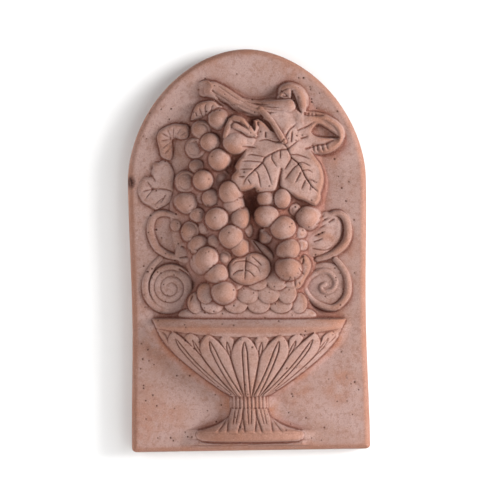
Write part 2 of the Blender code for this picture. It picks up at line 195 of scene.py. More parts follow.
def bowl_carving(turn, z, radius):
    """The petals round the bowl with their double ribs, and the small leaves between their tips"""
    down = np.clip((FASCIA_FOOT - z) / (FASCIA_FOOT - COLLAR_TOP), 0, 1)
    petal = (turn + 0.06 * turn ** 3) / PETAL_STEP
    across = np.abs(petal - np.round(petal))
    pitch = radius * PETAL_STEP
    width = 0.5 * np.sin(np.clip((down + 0.01) / 0.41, 0, 1) * np.pi / 2) ** 0.85
    from_edge = (width - across) * pitch
    opened = np.clip(down / 0.07, 0, 1)
    rib = np.minimum(2.1 / pitch, 0.27) * np.clip((down - 0.09) / 0.16, 0, 1) ** 0.7
    face = 1.9 * (1 - bump(np.clip(from_edge, 0, None), 0.8)) + 0.8 * (1 - (across / 0.5) ** 2)
    face -= 2.1 * bump((across - rib) * pitch, 0.5) * np.clip((down - 0.08) / 0.04, 0, 1)
    between = 0.5 - across
    leaf_width = 0.21 * np.clip((0.42 - down) / 0.34, 0, 1) ** 0.6 * opened ** 0.5
    from_leaf_edge = (leaf_width - between) * pitch
    eye = np.abs(between - 0.05 * np.sin(np.clip((down - 0.10) / 0.27, 0, 1) * np.pi)) * pitch
    small = 1.5 * (1 - bump(np.clip(from_leaf_edge, 0, None), 0.6))
    small = small - 1.5 * bump(eye, 0.5) * (down > 0.10) * (down < 0.37)
    return np.where(from_edge > 0, face, np.where(from_leaf_edge > 0, small, -0.3)) - 0.5


def foot_carving(turn, side, z):
    """The flutes of the collar, and the leaves that hang down over the foot with small ones between them"""
    fluted = 0.55 * np.cos(turn * np.pi * 2 / 0.19)
    drop = np.clip((COLLAR_FOOT - z) / (COLLAR_FOOT - FLARE_FOOT), 0, 1)
    pitch = 10.6 + 3.9 * drop + 0.14 * np.clip(np.abs(side) - 16, 0, None) * drop
    across = np.abs(side / pitch - np.round(side / pitch))
    width = 0.48 - 0.19 * np.clip((drop - 0.35) / 0.65, 0, 1)
    face = 1.5 * (1 - bump(np.clip((width - across) * pitch, 0, None), 0.8)) * (across < width)
    face -= 1.2 * bump((across - 0.15 + 0.10 * drop) * pitch, 0.45) * np.clip((0.72 - drop) / 0.1, 0, 1)
    between = 0.5 - across
    small_width = 0.17 * np.clip((drop - 0.4) / 0.5, 0, 1)
    small = 1.1 * (1 - bump(np.clip((small_width - between) * pitch, 0, None), 0.6)) * (between < small_width)
    leafy = np.maximum(face, small) * np.clip((1.05 - drop) / 0.08, 0, 1)
    return np.where(z > COLLAR_FOOT, fluted, leafy) - 0.5 * bump(z - COLLAR_FOOT, 0.7)


places = near(-95, 95, URN_FOOT - 4, RIM_TOP + 4)
x, z = X[places], Z[places]
middle = 0.9 + 1.1 * np.clip((COLLAR_TOP - z) / (COLLAR_TOP - URN_FOOT), 0, 1)
radius = urn_radius(z)
turn = (x - middle) / radius
stand = URN_STAND * (radius / RIM_RADIUS) ** 0.6
sag = FASCIA_SAG * (1 - np.clip(turn, -1, 1) ** 2) - FASCIA_SAG / 2
over_fascia = np.clip((z - (FASCIA_FOOT - sag)) / 0.8, 0, 1)
inner = np.clip((COLLAR_TOP + 0.5 - z) / 0.8, 0, 1)
carving = bowl_carving(turn + 0.055, z + sag * 0.5, radius) * (1 - inner)
carving += foot_carving(turn, x - middle, z) * inner
carving *= (z > FLARE_FOOT - 1) * (1 - over_fascia)
band = np.clip((z - BAND_FOOT) / (RIM_TOP - BAND_FOOT), 0, 1)
cove = np.clip((z - FASCIA_FOOT) / (BAND_FOOT - FASCIA_FOOT), 0, 1)
fascia = 0.4 + 2.4 * cove ** 1.5 - 10.5 * band ** 1.2
stand += over_fascia * fascia
round_back = np.sqrt(np.clip(1 - turn ** 2, 0, 1))
form = stand * round_back ** 0.9 + carving * np.clip(round_back * 2.5, 0, 1)
form -= STEEP * radius * np.clip(np.abs(turn) - 1, 0, None)
form -= 6 * np.clip(z - RIM_TOP + 0.6, 0, None) ** 1.5 + STEEP * np.clip(z - RIM_TOP, 0, None)
form -= STEEP * np.clip(URN_FOOT - z, 0, None) + 1.2 * np.clip((URN_FOOT + 1.5 - z), 0, None) ** 2
lay(places, form, soft=1.2)
beyond = radius * np.clip(np.abs(turn) - 1, 0, None)
joint = JOINT_RISE * np.clip(1 - beyond / JOINT_WIDTH, 0, 1) ** 2 * np.clip((RIM_TOP - z) / 6, 0, 1)
# Round the urn the slab is painted darker in a rusty colour: painted shade in the cove, with some rust stain.
cove_shade_and_stain = np.zeros(clay.shape)
cove_shade_and_stain[places] = np.clip(1.1 - beyond / 12, 0, 1) * (beyond > 0) * np.clip((RIM_TOP - 4 - z) / 8, 0, 1)
cove_shade_and_stain[places] *= np.clip((z - FLARE_FOOT) / 6, 0, 1)
lay(places, joint - 9 * (joint < 0.02), soft=0.4)

share = np.clip(1 - ((x - 2) / 43) ** 2, 0, 1)
clay[places] -= 1.5 * share ** 0.5 * bump(z - URN_FOOT + 1.2 + 1.4 * share, 0.5 + 0.9 * share)

# The heap of scales
# Over the rim rises a low heap of round scales, lapped like roof tiles, on a plain ledge.


def dome(x, z, across, tall, top, crown, tilt=(0, 0), soft=0.4):
    """Lays a round-backed form with steep sides. The tilt is how it slopes across and up."""
    reach = max(across, tall) + top / STEEP + 3
    places = near(x - reach, x + reach, z - reach, z + reach)
    side = X[places] - x
    up = Z[places] - z
    out = np.hypot(side / across, up / tall)
    form = top - crown * (1 - np.sqrt(np.clip(1 - out ** 2, 0, 1)))
    form += np.clip(out, 0, 1) / np.maximum(out, 1e-6) * (tilt[0] * side + tilt[1] * up)
    form -= STEEP * min(across, tall) * np.clip(out - 1, 0, None)
    lay(places, form, soft)


def swell(x, z, across, tall, height, power=0.8, soft=2.0):
    """Lays a soft swelling of clay"""
    places = near(x - across, x + across, z - tall, z + tall)
    out = ((X[places] - x) / across) ** 2 + ((Z[places] - z) / tall) ** 2
    lay(places, height * np.clip(1 - out, 0, 1) ** power - 2 * (out > 1), soft)


def stand_at(x, z):
    """How far the clay stands above the slab's face at one place"""
    far = np.hypot(X - x, Z - z)
    return clay.flat[far.argmin()] - FACE


swell(-0.5, -57, 60, 13, 18.5, power=0.25)
swell(-1, -44, 45, 18, 16.0, power=0.35)
swell(0, -30, 40, 26, 15.5, power=0.4)
SCALE_ROWS = [
    (-54.5, [(-45, 6.5), (-30.2, 10), (-10.3, 10.2), (9.1, 10), (28, 10.2), (43.5, 7)]),
    (-46, [(-36.2, 7), (-19, 9.8), (-0.4, 9.6), (17.7, 9.4), (33.4, 8)]),
    (-34.7, [(-12, 9), (7.8, 9.4), (25, 9)]),
]
for foot, scales in SCALE_ROWS:
    tops = [stand_at(x, foot + 1) + 2.6 for x, across in scales]
    for (x, across), top in zip(scales, tops):
        dome(x, foot + 8.5, across, 8.5, top - 1.6, 1.4, tilt=(0, -0.21), soft=0.2)
dome(44, -53.5, 10, 2.8, 14.5, 1.5, tilt=(-0.3, 0), soft=0.4)

# The handles
# On each side of the garland a handle stands on the urn's rim: a curl that opens upward over a coil,
# modelled as rolled ropes of clay pressed onto the slab. The left coil is a flat disc with its winding
# cut in.


def smooth_path(points, steps=5, closed=False):
    """A rounded path through the points"""
    knots = np.array(points, float)
    if closed:
        knots = np.vstack([knots[-1], knots, knots[0], knots[1]])
    else:
        knots = np.vstack([2 * knots[0] - knots[1], knots, 2 * knots[-1] - knots[-2]])
    path = []
    for before, start, end, after in zip(knots, knots[1:], knots[2:], knots[3:]):
        for step in range(steps):
            t = step / steps
            bend = (2 * before - 5 * start + 4 * end - after) * t ** 2
            swing = (3 * start - before - 3 * end + after) * t ** 3
            path.append(0.5 * (2 * start + (end - before) * t + bend + swing))
    if not closed:
        path.append(knots[-2])
    return np.array(path)


def along(path, places):
    """How far each place is from the path, and how far along the path its nearest point is, from 0 to 1"""
    x, z = X[places], Z[places]
    best = np.full(x.shape, 1e9)
    share = np.zeros(x.shape)
    lengths = np.hypot(*np.diff(path, axis=0).T)
    done = 0.0
    for start, end, length in zip(path, path[1:], lengths):
        if length < 1e-6:
            continue
        way = (end - start) / length
        t = np.clip((x - start[0]) * way[0] + (z - start[1]) * way[1], 0, length)
        far = np.hypot(x - start[0] - t * way[0], z - start[1] - t * way[1])
        closer = far < best
        best = np.where(closer, far, best)
        share = np.where(closer, (done + t) / lengths.sum(), share)
        done += length
    return best, share


def around(path, reach):
    """The places within reach of a path"""
    low_x, low_z = path.min(axis=0) - reach
    high_x, high_z = path.max(axis=0) + reach
    return near(low_x, high_x, low_z, high_z)


def rope(points, radius, top, soft=0.4, steep=STEEP):
    """Lays a rope of clay along a path, its radius and the height of its back given from end to end"""
    path = smooth_path(points)
    places = around(path, max(radius) + 4)
    far, share = along(path, places)
    stations = np.linspace(0, 1, len(radius))
    r = np.interp(share, stations, radius)
    back = np.interp(share, np.linspace(0, 1, len(top)), top)
    form = back - r + np.sqrt(np.clip(r ** 2 - far ** 2, 0, None)) - steep * np.clip(far - r, 0, None)
    lay(places, form, soft)


def cut(points, width=0.5, depth=1.2, fade=0.35, shallow=0.3):
    """Cuts a tapering line into the clay, with a wide shallow dip on both sides"""
    path = smooth_path(points) if len(points) > 2 else np.array(points, float)
    places = around(path, 4)
    far, share = along(path, places)
    strength = np.clip((1 - share) / fade, 0, 1) ** 0.6
    clay[places] -= strength * (depth * bump(far, width) + shallow * bump(far, 3.2 * width))


def winding(x, z, start, turns, reach, end_reach):
    """Points of a coil that winds in, from an angle in degrees. Turns below 0 wind rightwards."""
    points = []
    steps = int(abs(turns) * 12)
    for step in range(steps + 1):
        share = step / steps
        angle = math.radians(start + 360 * turns * share)
        away = reach + (end_reach - reach) * share
        points.append((x + away * math.cos(angle), z + away * math.sin(angle)))
    return points


LEFT_COIL = [
    (-76, -7.5), (-83, -15), (-88, -25.5), (-88.5, -35), (-85.5, -43), (-79, -49.5), (-70.5, -52.5),
    (-61, -51.5), (-53, -47), (-47.5, -40), (-46.5, -32),
]
RIGHT_COIL = [
    (75.5, -8), (81, -14.5), (85, -22), (86.5, -31), (85.5, -39), (81, -45.5), (75, -49.5), (69, -50),
    (60, -46.5), (53, -40.5), (49, -33), (51, -26.5), (57, -21), (64, -18.5), (70, -19.5), (74, -23.5),
    (76, -28.5), (73.5, -34), (68, -36.5), (64, -35), (63.5, -31.5), (66.5, -30),
]
LEFT_CURL = [
    (-63, 29), (-71.5, 31.5), (-78.5, 30.5), (-83, 25.5), (-84.5, 17), (-82.5, 8.5), (-78.5, 1.5),
    (-71.5, -3.5), (-64.5, -6), (-57, -7),
]
RIGHT_CURL = [
    (68, 29), (74, 31.5), (80, 31), (84.5, 26.5), (86.5, 19), (86, 11), (82.5, 4), (76, -1.5), (68, -5.5),
    (60, -8),
]
rope(LEFT_COIL, [2.2, 3.2, 3.4, 3.2, 2.6], [2.6, 3.6, 3.8, 3.6, 2.6], soft=1.6, steep=1.6)
dome(-66.5, -32, 18.5, 19.5, 4.3, 0.8, soft=1.0)
cut(winding(-67, -33, 60, 2.5, 16, 2), width=0.7, depth=0.8, fade=0.1)
cut([(-59, -17), (-51.5, -22), (-47.5, -31), (-48.5, -42), (-53, -47)], width=0.9, depth=1.8, fade=0.3)
dome(-66.5, -33, 1.6, 1.6, 4.6, 0.8)
swell(67, -31, 20, 20, 3.0, power=0.3)
rope(RIGHT_COIL, [2.6, 3.2, 3.0, 2.8, 2.6, 2.4, 2.2], [3.2, 5.0, 4.8, 4.4, 4.2, 4.2, 4.6],
     soft=1.0, steep=1.8)
rope(LEFT_CURL, [2.0, 2.8, 3.4, 3.4, 3.0, 2.6], [2.6, 3.4, 3.8, 3.6, 3.4, 2.4], soft=1.6, steep=1.6)
rope(RIGHT_CURL, [1.8, 3.0, 3.6, 3.4, 2.4], [3.2, 4.6, 5.0, 4.6, 2.8], soft=1.4, steep=1.8)

# The bunches of grapes
# Two bunches hang over the urn, a long one on the left and a short one on the right: round grapes pressed
# onto a swelling of clay, the foremost standing free almost to their middles.
LEFT_GRAPES = [
    (-25.5, 111, 8.3, 7.4, 22), (-39.5, 102.5, 7.2, 7, 16), (-32.5, 92.5, 8.2, 7.8, 24),
    (-45, 87.5, 8, 8.3, 11), (-25, 77.5, 8.8, 9.4, 28), (-44, 72, 6.8, 5.4, 12), (-53, 58.5, 8.5, 8.5, 13),
    (-38.5, 59.7, 8.8, 8.8, 24), (-23, 60.5, 7.5, 8, 15), (-52.5, 40.7, 8.7, 8.5, 16),
    (-31.4, 44.6, 8.2, 8.2, 21), (-16, 49.2, 8.8, 9.8, 30), (-13.5, 38.5, 7.8, 7.5, 26),
    (-39.5, 44.5, 4.5, 4.5, 12), (-43.5, 30, 5.7, 6, 16), (-26.3, 26.5, 10.3, 9.6, 29),
    (-7, 26.5, 7.9, 8.8, 28), (1.5, 17, 4, 6, 16), (-14.6, 11.4, 10.3, 10.4, 31), (-50, 16.2, 7.5, 7.4, 14),
    (-37.5, 18.5, 4.8, 5.8, 15), (-42.2, 5, 7.5, 7.3, 19), (-28.4, 6.3, 6.6, 6.6, 20),
    (-7.7, 2.4, 7, 8.2, 26), (-35, -7.2, 9.8, 10, 28), (-21, -7.5, 6.3, 6.6, 20),
    (-25.4, -20, 7.9, 7.9, 28), (-20.7, -36.4, 8.8, 9.4, 30), (-62.5, 21, 4, 5.5, 4.5),
]
RIGHT_GRAPES = [
    (15.5, 44.2, 7.5, 7.4, 25), (29.2, 44, 7.2, 8.6, 27), (16, 29, 10.8, 9.5, 28),
    (30.2, 18.8, 10.8, 10, 30.5), (49.6, 27.8, 9.3, 9, 22), (43.5, 15.3, 5, 6, 17), (35.8, 0.7, 8.5, 9, 28),
    (35, -15.7, 8.5, 8.8, 31), (14.7, 12.3, 6.5, 5.6, 15), (4.3, 41, 5, 5, 11), (40.5, 34.3, 4.6, 6.2, 16),
    (44.8, 4.1, 3.8, 5.6, 15),
]


def bunch(grapes):
    """Lays the clay that the grapes of a bunch are pressed into, then the grapes"""
    places = near(-75, 70, -55, 125)
    x, z = X[places], Z[places]
    total = np.zeros(x.shape)
    weight = np.zeros(x.shape)
    away = np.full(x.shape, 99.0)
    for middle_x, middle_z, across, tall, top in grapes:
        far = np.hypot(x - middle_x, z - middle_z)
        pull = bump(far, 9)
        total += pull * (top - (0.42 + 0.007 * top) * min(across, tall, top))
        weight += pull
        away = np.minimum(away, far - min(across, tall))
    lay(places, total / np.maximum(weight, 1e-9) - 2.5 * np.clip(away, 0, None), soft=1.5)
    for middle_x, middle_z, across, tall, top in grapes:
        dome(middle_x, middle_z, across, tall, top, min(across, tall, top), soft=0.35)


def inside(outline, places):
    """How far each place is inside an outline, or minus how far it is outside"""
    x, z = X[places], Z[places]
    ring = np.vstack([outline, outline[:1]])
    far, _ = along(ring, places)
    within = np.zeros(x.shape, bool)
    for start, end in zip(ring, ring[1:]):
        if start[1] == end[1]:
            continue
        crosses = (start[1] > z) != (end[1] > z)
        meets = start[0] + (z - start[1]) * (end[0] - start[0]) / (end[1] - start[1])
        within ^= crosses & (x < meets)
    return np.where(within, far, -far)


def scoop(points, depth, edge):
    """Hollows the clay inside an outline"""
    outline = smooth_path(points, 4, closed=True)
    places = around(outline, 1)
    share = np.clip(inside(outline, places) / edge, 0, 1)
    clay[places] -= depth * share * share * (3 - 2 * share)


swell(-36, 45, 32, 84, 6)
swell(-20, 22, 24, 70, 11)
swell(34, 18, 26, 50, 9)
swell(24, 92, 40, 34, 13)
bunch(LEFT_GRAPES)
bunch(RIGHT_GRAPES)
PIT = [
    (1.5, 50.5), (7, 46.5), (9.5, 39.5), (6, 32.5), (7, 24), (12, 15.5), (11, 6.5), (5, 0), (0, -2),
    (-1, 8.5), (1.5, 19), (1, 30), (-3.5, 38.5), (-4.5, 44.5),
]
scoop(PIT, 8.5, 5)

# The branch
# A cut length of vine lies across the head, its end sawn square on the left, and a stalk comes
# down from it to the largest leaf.
BRANCH = [
    (-31, 138), (-24, 134.5), (-15.5, 129), (-7, 124), (1.5, 121.5), (10.5, 120.5), (19, 121.5),
    (27.5, 122.5), (34.5, 123.5),
]
dome(-37.5, 139.5, 6.6, 7, 4.6, 0.4, tilt=(0.8, 0), soft=0.8)
rope(BRANCH, [7.6, 7.8, 7.4, 6.8, 6.6, 6.8, 6.6], [9.5, 11, 12.5, 14, 15, 16, 16.5], soft=2.0, steep=2.4)
bark = smooth_path(BRANCH)
BARK_CUTS = 34
for index in range(BARK_CUTS):
    start = int((index * 0.618 % 1) * (len(bark) - 14))
    side = 6.2 * math.sin(index * 2.4)
    twist = -3.0 - 1.5 * math.sin(index * 1.3)
    line = []
    for step in (0, 4, 8, 12):
        across, up = bark[start + step]
        line.append((across, up + side + twist * step / 12 + 0.5 * math.sin(index + step)))
    cut(line, width=0.55, depth=0.6 + 0.35 * math.sin(index * 3.1), shallow=0.25, fade=0.5)
cut([(-25, 141), (-16, 134.5), (-8, 129.5), (2, 127)], width=0.9, depth=1.0, shallow=0.5)
rope([(11, 120.5), (15, 116.5), (19.5, 111), (23.5, 105), (27.5, 98.5), (31, 93)], [2.8, 2.7, 2.5, 2.3, 2.0],
     [15.5, 19, 21.5, 24.2, 26.2], soft=0.6, steep=5)

# The large vine leaf
# The largest leaf lies over the tops of both bunches, its lobes spread and drooping, with veins cut in with
# a point.
LARGE_LEAF = [
    (28.5, 69), (26, 60), (24, 53), (21.5, 50.5), (15.5, 50), (8.5, 50), (6, 53.5), (1.5, 52), (-7, 51),
    (-13, 58.5), (-13, 63.5), (-9.5, 68), (-10.5, 72), (-7.5, 77.5), (-4.5, 81.5), (-2, 90), (2, 102),
    (6, 111), (13, 113), (20, 118), (30, 121), (38, 122), (46, 117), (50, 105), (52.5, 96.5), (53.5, 87.5),
    (57, 80), (62, 73), (64.5, 64.5), (64.5, 57.5), (62, 49), (62, 44), (58, 38.5), (52.5, 40.5),
    (47.5, 43), (41.5, 45), (36, 49), (28.5, 54), (27.5, 59.5), (27.5, 63.5),
]


def leaf(points, heights, edge=2.2, droop=1.6, soft=0.3, steep=STEEP):
    """Lays a leaf: its outline, and the height of its surface at a few places"""
    outline = smooth_path(points, 4, closed=True)
    places = around(outline, 4)
    depth = inside(outline, places)
    total = np.zeros(depth.shape)
    weight = np.zeros(depth.shape)
    for x, z, height in heights:
        pull = 1 / ((X[places] - x) ** 2 + (Z[places] - z) ** 2 + 25) ** 1.5
        total += pull * height
        weight += pull
    form = total / weight - droop * (1 - np.clip(depth / edge, 0, 1)) ** 2 - steep * np.clip(-depth, 0, None)
    lay(places, form, soft)


def veins(paths, width=0.5, depth=1.3):
    """Cuts the veins of a leaf"""
    for path in paths:
        cut(path, width, depth)


leaf(LARGE_LEAF, [
    (34, 86, 24), (14, 77, 27), (20, 66, 27), (14, 55, 25.5), (-6, 57, 26), (-8, 72, 25), (2, 66, 29),
    (24, 80, 25.5),
    (46, 72, 25), (40, 60, 24), (50, 56, 22), (60, 44, 17), (62, 66, 16), (32, 64, 21), (32, 104, 20),
    (28, 116, 15), (40, 116, 12), (42, 106, 14),
    (50, 98, 9), (54, 88, 10), (50, 78, 19), (12, 96, 22), (22, 104, 20), (10, 104, 20),
], edge=2.6, droop=2.4)
veins([
    [(34, 86.5), (29.5, 93)],
    [(29.5, 93), (35.5, 103), (39, 106), (43, 110)],
    [(29.5, 93), (23.5, 92.5), (15.5, 94.5), (8.5, 93)],
    [(34, 86.5), (39.5, 91), (44, 94.5)],
    [(37, 93), (38, 103)],
    [(34, 86.5), (37, 79)],
], width=0.6, depth=1.5)
veins([
    [(33, 86), (27.5, 85.5), (20.5, 82.5), (14, 78.5), (12.5, 75), (5.5, 68.5), (-1, 62), (-5, 54.5)],
    [(37, 79), (43, 74), (46, 69), (48.5, 63.5), (51, 59.5), (55, 54), (59.5, 50), (60.5, 45.5)],
], width=0.7, depth=1.9)
veins([
    [(27.5, 85), (27.5, 77.5)],
    [(20.5, 81.5), (20.5, 77.5), (25, 70.5)],
    [(12.5, 74.5), (15.5, 69.5), (18, 63.5), (20.5, 55)],
    [(5.5, 68.5), (8.5, 64.5), (11, 53)],
    [(0, 60), (2.5, 56)],
    [(14, 79.5), (3.5, 81.5), (-1, 80.5)],
    [(11, 75), (1, 76), (-6, 75.5)],
    [(3.5, 69), (-7, 69)],
    [(-3.5, 62.5), (-8.5, 62.5)],
    [(37, 78), (31, 68)],
    [(43, 73), (39, 70), (31.5, 60)],
    [(45.5, 67), (40, 56.5)],
    [(49, 59.5), (45.5, 51.5)],
    [(53.5, 55), (53, 50.5)],
    [(37, 81.5), (43, 81.5), (53.5, 78)],
    [(43, 74), (46.5, 75), (54.5, 71.5)],
    [(46.5, 68), (51.5, 68.5), (56, 66)],
    [(51, 59.5), (54.5, 60), (58.5, 57)],
])

# The curled lobe
# Left of the stalk one lobe of the large leaf is rolled under, like a small fig.
leaf([(-16.5, 112), (-14, 115), (-8.5, 115.5), (-3.5, 112.5), (0, 108.5), (1, 103), (7, 98), (9.5, 94.5),
      (7, 87.5), (1.5, 85), (-5, 82.5), (-14, 82.5), (-19, 86), (-21.5, 93), (-20.5, 100), (-18, 106.5)],
     [(-11, 92, 27), (-12, 104, 25), (-8, 112, 20), (-3, 101, 25), (4, 94, 24), (8, 92, 22), (-2, 90, 26)],
     edge=5, droop=6)
dome(-10.5, 91.5, 11, 9.5, 29.5, 8)
rope([(-14.5, 111), (-17, 104), (-19, 97)], [2.4, 2.6, 2.2], [23, 26, 26])
rope([(-12, 112.5), (-6, 111), (-1, 106), (6, 98)], [2.4, 2.4, 2.2, 1.6], [24, 26, 26, 24.5])
rope([(-11, 106), (-5, 103), (3.5, 98)], [2.6, 2.4, 1.8], [27, 27, 25])
rope([(6, 110), (7.5, 105), (6, 100)], [1.2, 1.6, 1.4], [20, 23, 24])
veins([
    [(-6.5, 109.5), (1, 103)],
    [(-6, 100.5), (-1, 97), (3.5, 96.5), (6, 98)],
    [(8.5, 109.5), (8, 103), (6, 99)],
    [(-4.5, 88.5), (1, 88), (7, 87.5)],
    [(15, 100.5), (15, 95.5)],
], width=0.7, depth=1.6)
scoop([(8.5, 115), (15.5, 113), (21, 107), (23.5, 100.5), (19, 102), (13.5, 107.5), (8.5, 111)], 5, 2.2)
scoop([(-2.5, 116), (2, 113.5), (3.5, 108), (1, 104), (-1, 107), (-3.5, 112)], 4, 1.8)

# The small leaves on the left
# Three smaller leaves lie on the slab beside the long bunch, one of them folded into a crescent.
leaf([(-49, 112.5), (-47.5, 119), (-44, 125), (-39, 127.5), (-32.5, 128.5), (-28.5, 127.5), (-26, 125),
      (-22.5, 123),
      (-27.5, 121.5), (-32, 118), (-35.5, 115.5), (-41.5, 113.5), (-48.5, 112)],
     [(-46, 116, 7), (-40, 123, 11), (-32, 124, 12), (-26, 124, 12), (-40, 115, 9)], edge=3, droop=2.5)
veins([[(-36, 115.5), (-37, 122), (-35.5, 127.5)], [(-39.5, 115.5), (-41.5, 120.5), (-42, 124)],
       [(-32.5, 118), (-31, 123), (-29.5, 125.5)],
       [(-29.5, 119), (-26.5, 122), (-24, 123)], [(-44, 115.5), (-45.5, 119)]], width=0.6, depth=1.0)
leaf([(-78.5, 98), (-76, 103), (-70.5, 106.5), (-64, 108.5), (-57, 108), (-52.5, 107.5), (-51, 102.5),
      (-52.5, 97), (-57.5, 95.5), (-63, 96.5), (-66, 94), (-65.5, 86), (-66.5, 79), (-70, 78), (-75, 81),
      (-76.5, 87.5), (-78, 93)],
     [(-64, 96, 4.5), (-70, 103, 6), (-60, 106, 6.5), (-54, 103, 7), (-75, 94, 5), (-70, 82, 5)],
     edge=3, droop=2.6, soft=0.8, steep=4)
veins([
    [(-67, 96.5), (-71.5, 99), (-76, 101.5)], [(-66.5, 97), (-69, 102.5), (-70.5, 106)],
    [(-64.5, 97), (-64.5, 102.5), (-64.5, 106.5)], [(-63, 97), (-59.5, 102.5), (-57, 106.5)],
    [(-67, 95.5), (-72.5, 94.5), (-76.5, 94)], [(-67, 93), (-71.5, 89.5), (-76, 86)],
    [(-66.5, 89.5), (-70, 85), (-73.5, 81)], [(-61, 97), (-56, 100), (-52.5, 102.5)],
], width=0.6, depth=0.8)
leaf([(-82.5, 70.5), (-82, 75), (-77.5, 75.5), (-74, 77.5), (-70.5, 77), (-67, 73), (-64, 67), (-63.5, 60),
      (-64, 51.5), (-65.5, 46.5), (-69, 40.5), (-75, 37), (-80, 35), (-84.5, 37.5), (-89, 39.5), (-92, 42),
      (-95, 48), (-95, 54), (-93, 59.5), (-90.5, 62.5), (-87, 63), (-84.5, 63.5), (-83.5, 68)],
     [(-82, 52, 2.8), (-76, 70, 3.4), (-70, 62, 4.6), (-68, 48, 4.0), (-78, 40, 4.2), (-90, 46, 3),
      (-90, 58, 3)],
     edge=4, droop=2.4, soft=0.6, steep=4)
veins([
    [(-82.5, 52.5), (-88, 60)], [(-82.5, 52.5), (-92, 50)], [(-82.5, 52.5), (-89.5, 43)],
    [(-82.5, 52.5), (-74, 52.5), (-67, 51), (-65.5, 48), (-68, 44)], [(-74, 44.5), (-82.5, 37.5)],
    [(-83.5, 64.5), (-79.5, 58.5)], [(-71.5, 47), (-76, 39.5)],
], depth=0.9)

# The curled leaves on the right
# From the end of the branch one leaf arches over like a hook, and another lies open like a boat with its rim
# rolled in.
HOOK = [(28.5, 135), (31, 139), (36, 140), (41.5, 137), (45, 131.5), (46.5, 125), (47.5, 118)]
leaf([(24, 128), (26.5, 134), (32, 138.5), (39, 137.5), (44, 130), (46, 120), (43, 115), (39, 118),
      (37, 127), (30, 129)],
     [(26, 132, 7), (34, 136, 9), (42, 134, 9), (45, 122, 6), (40, 126, 5)],
     edge=3, droop=2, soft=0.8, steep=3)
leaf([(27, 133), (31, 137), (36.5, 138.5), (37, 132), (34.5, 129.5)],
     [(29, 134, 10), (36, 136, 12), (36, 131, 10)],
     edge=1.5, droop=1)
rope(HOOK, [2.0, 2.6, 3.0, 3.6, 3.8, 3.4, 2.4], [7, 9.5, 11, 13, 13.5, 13, 10], soft=0.8, steep=2.4)
veins([[(28.5, 137.5), (32, 134.5), (36, 130)], [(38.5, 137), (38, 132.5)], [(43, 140), (45.5, 137)],
       [(30, 132.5), (34, 132)],
       [(40, 134.5), (40.5, 128), (39.5, 122)], [(43, 132), (43.5, 125), (43, 119)]], width=0.7, depth=1.2)
leaf([(44, 118), (54.5, 118.5), (61, 117.5), (69, 115), (76.5, 110.5), (81, 104.5), (82.5, 98.5), (80.5, 92),
      (76, 87.5),
      (70.5, 84.5), (62, 83), (54, 83), (46, 86), (38, 92), (36, 104)],
     [(40, 98, 15), (42, 110, 14), (50, 112, 12), (62, 114, 10.5), (72, 109, 10), (80, 102, 10), (80, 94, 9),
      (72, 88, 8.5),
      (60, 86, 7.5), (50, 88, 10), (50, 98, 13), (60, 94, 11), (66, 100, 10)],
     edge=3, droop=2.6, soft=1.2, steep=4)
rope([(58, 115), (66, 113.5), (73, 109.5), (78, 104.5), (80, 98.5), (78, 92.5), (73, 88.5)],
     [1.3, 1.6, 1.6, 1.6, 1.5, 1.3], [10.3, 11.8, 11.6, 11.2, 10.4, 8.6], soft=0.8, steep=3)
scoop([(53.5, 102.5), (56, 106.5), (59.5, 109.5), (64, 108.5), (70, 105), (79.5, 97.5), (76.5, 95.5),
       (68, 95.5), (59.5, 96.5), (55, 99)],
      5.0, 2.0)
cut([(50, 87), (56.5, 89.5), (61, 90.5), (67, 91.5), (72, 94), (78.5, 96)], width=1.0, depth=1.8, fade=0.2)
veins([[(55.5, 90), (57, 84)], [(59.5, 90), (60.5, 84)], [(63.5, 90.5), (65, 84.5)], [(67.5, 91.5), (69, 86)],
       [(43, 103), (50, 106), (58, 110.5)], [(46, 96), (52, 98)]], width=0.8, depth=1.2)
scoop([(48, 119), (56, 119.5), (66, 117), (64, 114.5), (54, 114.5), (48, 115.5)], 3, 1.6)
for index in range(4):
    cut([(49 + 3.1 * index, 118 - 0.3 * index), (48 + 3.4 * index, 114.5)], width=0.8, depth=0.8)

# The small leaves below
# One leaf lies at the foot of the long bunch with a deeper one behind it, one under the short bunch, one
# inside the right handle and a small one at the foot of the left handle.
leaf([(1.5, 8.5), (7, 7.5), (12, 5), (17.5, 0.5), (21.5, -4.5), (22.5, -9.5), (17.5, -12.5), (8.5, -10.5),
      (1.5, -5.5), (-1, 0.5)],
     [(4, 4, 8), (14, -4, 12), (20, -6, 13), (4, -4, 12)], edge=2, droop=1.5)
veins([[(4.5, 7.5), (11, -1), (17.5, -8)], [(2.5, -2), (12, -10.5)]])
leaf([(-17, -17.5), (-15.5, -11.5), (-11, -7.5), (-4.5, -6), (1.5, -3.5), (8, -3.5), (14, -6), (18, -10.5),
      (19, -17.5), (15.5, -23.5), (9.5, -27), (1.5, -30), (-6, -29.5), (-13, -26), (-16.5, -22.5)],
     [(-3, -9, 20), (-12, -16, 22), (-8, -25, 23), (2, -26, 23), (12, -20, 22), (12, -9, 18), (2, -17, 25)],
     edge=3.5, droop=3)
veins([
    [(-1.5, -7), (-2, -12.5), (-2.5, -20), (-3, -27)], [(-1.5, -9.5), (-9.5, -10), (-14.5, -14)],
    [(-1.5, -9.5), (4.5, -12.5), (8.5, -15.5), (10.5, -20)],
    [(-4.5, -17.5), (-9.5, -18.5), (-14.5, -22.5)], [(-1.5, -17.5), (1.5, -19), (6, -23.5)],
    [(3.5, -6), (8.5, -10.5), (12, -14)],
], width=0.55, depth=1.3)
leaf([(44, -7), (48.5, -5), (52, -8), (54, -13), (52.5, -19), (49, -25), (45.5, -31), (40.5, -34),
      (34.5, -34), (29.5, -31), (26.5, -26), (24.5, -19), (25, -12.5)],
     [(46, -10, 17), (52, -14, 15), (48, -24, 16), (40, -30, 18), (30, -27, 18), (36, -20, 20),
      (26, -16, 17)], edge=3, droop=2.5)
